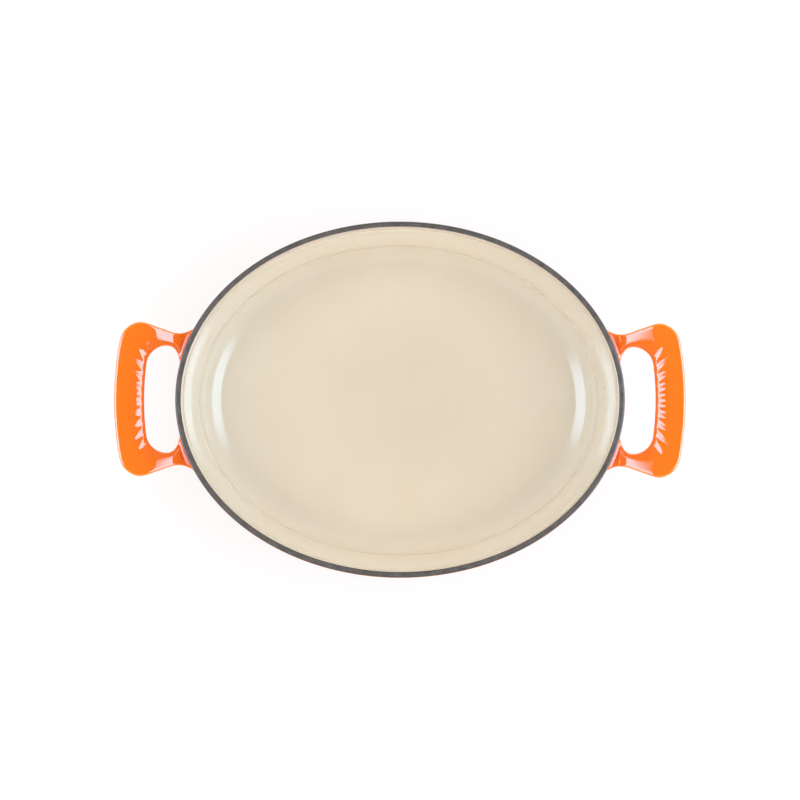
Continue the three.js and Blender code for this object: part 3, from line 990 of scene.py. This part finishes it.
class CASSEROLE_OT_base(bpy.types.Operator):
    """Model the coat under the base, with its foot ring"""

    bl_idname = "casserole.base"
    bl_label = "Base"

    def execute(self, context):
        sizes = context.scene.casserole_sizes
        edge = heel(sizes)[0]
        inside = edge[0] - sizes.foot_width
        profile = [edge, (inside, 0.0), (inside - sizes.foot_slope, sizes.foot_height)]
        middle = (profile[-1][0] - sizes.heel_radius, sizes.foot_height)
        profile += straight(profile[-1], middle, RECESS_ROWS)
        piece = sweep_oval("base_coat", sizes, profile, OVAL_POINTS)
        bpy.ops.mesh.edge_face_add()
        point_faces(piece, down)
        apply_modifier(
            piece,
            "soft bends",
            "BEVEL",
            width=sizes.foot_round,
            segments=FOOT_STEPS,
            limit_method="ANGLE",
            angle_limit=ROUNDED_ANGLE,
        )
        thicken(piece, sizes.enamel)
        finish_piece(piece, "base_enamel", fired_base(context.scene.casserole_colours))
        return {"FINISHED"}


class CASSEROLE_OT_casting(bpy.types.Operator):
    """Give the iron casting its grain"""

    bl_idname = "casserole.casting"
    bl_label = "Casting"

    def execute(self, context):
        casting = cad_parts["iron_casting"]
        casting.data.materials.clear()
        casting.data.materials.append(sand_cast_iron(context.scene.casserole_colours))
        return {"FINISHED"}


def white_table(stage):
    """A pale table top that keeps a faint shadow."""
    nodes = Nodes(bpy.data.materials.new("white_table"))
    shader = nodes.tree.nodes["Principled BSDF"]
    nodes.fill(shader, {"Roughness": TABLE_ROUGHNESS, "Base Color": stage.floor})
    rays = nodes.add("LightPath", {}).outputs
    seen = nodes.math("MAXIMUM", rays["Is Camera Ray"], rays["Is Glossy Ray"])
    part = nodes.math("MULTIPLY", seen, stage.floor_white)
    white = nodes.add("Emission", {"Strength": stage.floor_glow}).outputs["Emission"]
    entries = {"Fac": part, SHADER_FIRST: shader.outputs["BSDF"], SHADER_SECOND: white}
    blend = nodes.add("MixShader", entries)
    nodes.fill(nodes.tree.nodes["Material Output"], {"Surface": blend.outputs["Shader"]})
    return nodes.owner


def add_lamp(name, place, turn, width, depth, radiance, light):
    """Adds a soft lamp, turned about +Y, that the camera doesn't see."""
    bpy.ops.object.light_add(type="AREA", location=place, rotation=(0, turn, 0))
    lamp = bpy.context.object
    lamp.name = name
    lamp.visible_camera = False
    lamp.data.shape = "RECTANGLE"
    lamp.data.size = width
    lamp.data.size_y = depth
    lamp.data.color = light[:3]
    lamp.data.energy = radiance * pi * width * depth
    return lamp


def fade_ends(lamp, fade):
    """Lets a panel's light fade toward its two upright ends."""
    nodes = Nodes(lamp.data)
    place = nodes.add("NewGeometry", {}).outputs["Parametric"]
    middle = 0.5
    off_middle = nodes.math("ABSOLUTE", nodes.math("SUBTRACT", nodes.axis("Y", place), middle))
    strength = nodes.spread(off_middle, middle, middle - fade)
    nodes.fill(nodes.tree.nodes["Emission"], {"Strength": strength})


def add_panel(name, side, edges, behind, radiance, stage):
    """Adds an upright soft panel that faces the pot from one side."""
    low, high, front, back = edges
    place = (side * (stage.lamp_distance + behind), (front + back) / 2, (low + high) / 2)
    lamp = add_lamp(name, place, side * pi / 2, high - low, back - front, radiance, stage.panel_light)
    fade_ends(lamp, stage.panel_fade)
    return lamp


def add_fill(name, side, stage):
    """Adds a high soft lamp that leaves no reflection."""
    place = Vector((side * stage.fill_distance, 0, stage.fill_height))
    turn = atan2(place.x, place.z)
    width = stage.fill_size
    lamp = add_lamp(name, place, turn, width, width, stage.fill_radiance, stage.fill_light)
    lamp.visible_glossy = False


def studio_room(stage):
    """A room that is brightest a little above the horizon, dimmer in reflections and pale to look at."""
    nodes = Nodes(bpy.data.worlds.new("studio"))
    way = nodes.add("TexCoord", {}).outputs["Generated"]
    rays = nodes.add("LightPath", {}).outputs
    upward = nodes.axis("Z", way)
    across = nodes.axis("Y", way)
    level = nodes.spread(upward, 0.0, 1.0, stage.room_side, 0.0, "LINEAR")
    low = nodes.spread(upward, stage.room_low, stage.room_full, kind="LINEAR")
    square = nodes.math("MULTIPLY", across, across)
    around = nodes.math("MULTIPLY_ADD", square, stage.room_across, stage.room_along)
    turned = nodes.math("MULTIPLY", nodes.math("MULTIPLY", level, low), around)
    mirror = nodes.spread(rays["Is Glossy Ray"], 0.0, 1.0, 1.0, stage.room_mirror, "LINEAR")
    strength = nodes.math("MULTIPLY", turned, mirror)
    seen = nodes.math("MAXIMUM", strength, rays["Is Camera Ray"])
    nodes.fill(nodes.tree.nodes["Background"], {"Strength": seen, "Color": stage.room_light})
    return nodes.owner


class CASSEROLE_OT_stage(bpy.types.Operator):
    """Set the table, the soft lamps and the camera above the pot"""

    bl_idname = "casserole.stage"
    bl_label = "Stage"

    def execute(self, context):
        stage = context.scene.casserole_stage
        rim = context.scene.casserole_sizes.height
        bpy.ops.object.select_all(action="DESELECT")
        bpy.ops.mesh.primitive_plane_add(size=TABLE_SIZE, location=(0, 0, -TABLE_GAP))
        table = context.object
        table.name = "table"
        table.data.materials.append(white_table(stage))
        right = (stage.right_low, stage.right_high, -stage.right_front, stage.right_back)
        left = (stage.left_low, stage.left_high, -stage.left_front, stage.left_back)
        for side, name, edges in ((1, "right", right), (-1, "left", left)):
            soft_edges = (edges[0], stage.soft_high, *edges[2:])
            soft = add_panel(name + "_soft", side, soft_edges, 0.0, stage.soft_radiance, stage)
            soft.visible_glossy = False
            gloss = add_panel(name + "_gloss", side, edges, stage.lamp_step, stage.gloss_radiance, stage)
            gloss.visible_diffuse = False
            add_fill(name + "_fill", side, stage)
        above = Vector((-stage.camera_left, -stage.camera_front, rim + stage.camera_above))
        aim = Vector((-stage.aim_left, -stage.aim_front, rim)) - above
        turns = (atan2(aim.y, -aim.z), -atan2(aim.x, -aim.z), stage.camera_roll)
        bpy.ops.object.camera_add(location=above, rotation=turns)
        camera = context.object
        camera.data.sensor_width = SENSOR_WIDTH
        camera.data.lens = stage.lens
        context.scene.camera = camera
        context.scene.world = studio_room(stage)
        context.scene.view_settings.view_transform = "Standard"
        return {"FINISHED"}


OPERATORS = (
    CASSEROLE_OT_lining,
    CASSEROLE_OT_outer_coat,
    CASSEROLE_OT_rim,
    CASSEROLE_OT_base,
    CASSEROLE_OT_casting,
    CASSEROLE_OT_stage,
)

GROUPS = {
    "casserole_sizes": CasseroleSizes,
    "casserole_colours": CasseroleColours,
    "casserole_stage": CasseroleStage,
}


class CASSEROLE_PT_sidebar(bpy.types.Panel):
    """Sizes, colours and steps of the casserole"""

    bl_idname = "CASSEROLE_PT_sidebar"
    bl_label = "Casserole"
    bl_space_type = "VIEW_3D"
    bl_region_type = "UI"
    bl_category = "Casserole"

    def draw(self, context):
        for name, group in GROUPS.items():
            column = self.layout.column(align=True)
            for setting in group.__annotations__:
                column.prop(getattr(context.scene, name), setting)
        for operator in OPERATORS:
            self.layout.operator(operator.bl_idname)


CLASSES = (*GROUPS.values(), *OPERATORS, CASSEROLE_PT_sidebar)


def register():
    for kind in CLASSES:
        bpy.utils.register_class(kind)
    for name, group in GROUPS.items():
        setattr(bpy.types.Scene, name, PointerProperty(type=group))


def unregister():
    for name in GROUPS:
        delattr(bpy.types.Scene, name)
    for kind in reversed(CLASSES):
        bpy.utils.unregister_class(kind)


def main():
    register()
    bpy.ops.casserole.lining()
    bpy.ops.casserole.outer_coat()
    bpy.ops.casserole.rim()
    bpy.ops.casserole.base()
    bpy.ops.casserole.casting()
    bpy.ops.casserole.stage()


if __name__ == "__main__":
    main()
